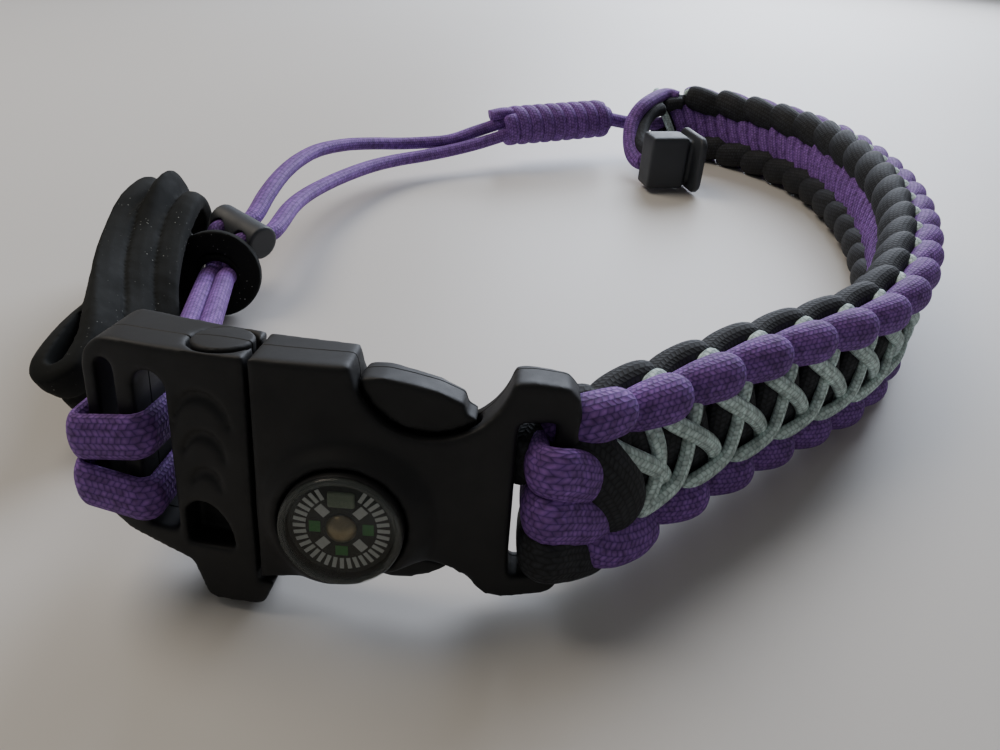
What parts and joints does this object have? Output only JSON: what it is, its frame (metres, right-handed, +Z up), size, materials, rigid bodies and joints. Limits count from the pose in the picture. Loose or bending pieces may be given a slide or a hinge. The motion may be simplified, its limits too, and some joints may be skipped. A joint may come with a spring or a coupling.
{
  "type": "paracord survival bracelet",
  "caption": "Woven paracord bracelet with a side-release buckle that carries a whistle and a compass, a sliding cord closure and a ribbed rubber strap.",
  "frame": {"origin": "on the resting surface, below the middle of the part's box", "axes": "+X runs along the buckle from its whistle half to its socket half, +Y runs from the buckle's face across the wrist hollow to the barrel knot, +Z is up from the surface that the bracelet lies on"},
  "size_m": [0.1686, 0.2071, 0.0316],
  "materials": {
    "black_plastic": "moulded acetal, fine satin",
    "clear_plastic": "clear moulded acrylic dome",
    "compass_print": "printed compass card, dark with pale green and white marks",
    "brass": "dull plated pivot cap",
    "black_cord": "braided nylon sheath, matt",
    "purple_cord": "braided nylon sheath, soft sheen",
    "black_rubber": "moulded rubber, matt and slightly dusty"
  },
  "bodies": {
    "bracelet": {"whistle_half": "black_plastic", "side_plug": "black_plastic", "socket_half": "black_plastic", "compass_cup": "black_plastic", "compass_dome": "clear_plastic", "woven_band": "black_cord", "purple_bar_loop_upper": "purple_cord", "purple_bar_loop_lower": "purple_cord", "black_bar_loop": "black_cord", "hitch_cord": "purple_cord", "adjuster_cord_upper": "purple_cord", "adjuster_cord_lower": "purple_cord", "barrel_knot": "purple_cord", "knot_anchor": "purple_cord", "end_loop": "purple_cord", "end_block": "black_plastic", "cord_toggle": "black_plastic", "rubber_strap": "black_rubber"},
    "compass": {"compass_card": "compass_print", "pivot_cap": "brass"}
  },
  "joints": [
    {"name": "compass_turn", "type": "hinge", "parent": "bracelet", "child": "compass", "pos_m": [-0.02532, -0.10111, 0.01426], "axis": [-0.0155, -0.9876, 0.1564], "continuous": true}
  ]
}
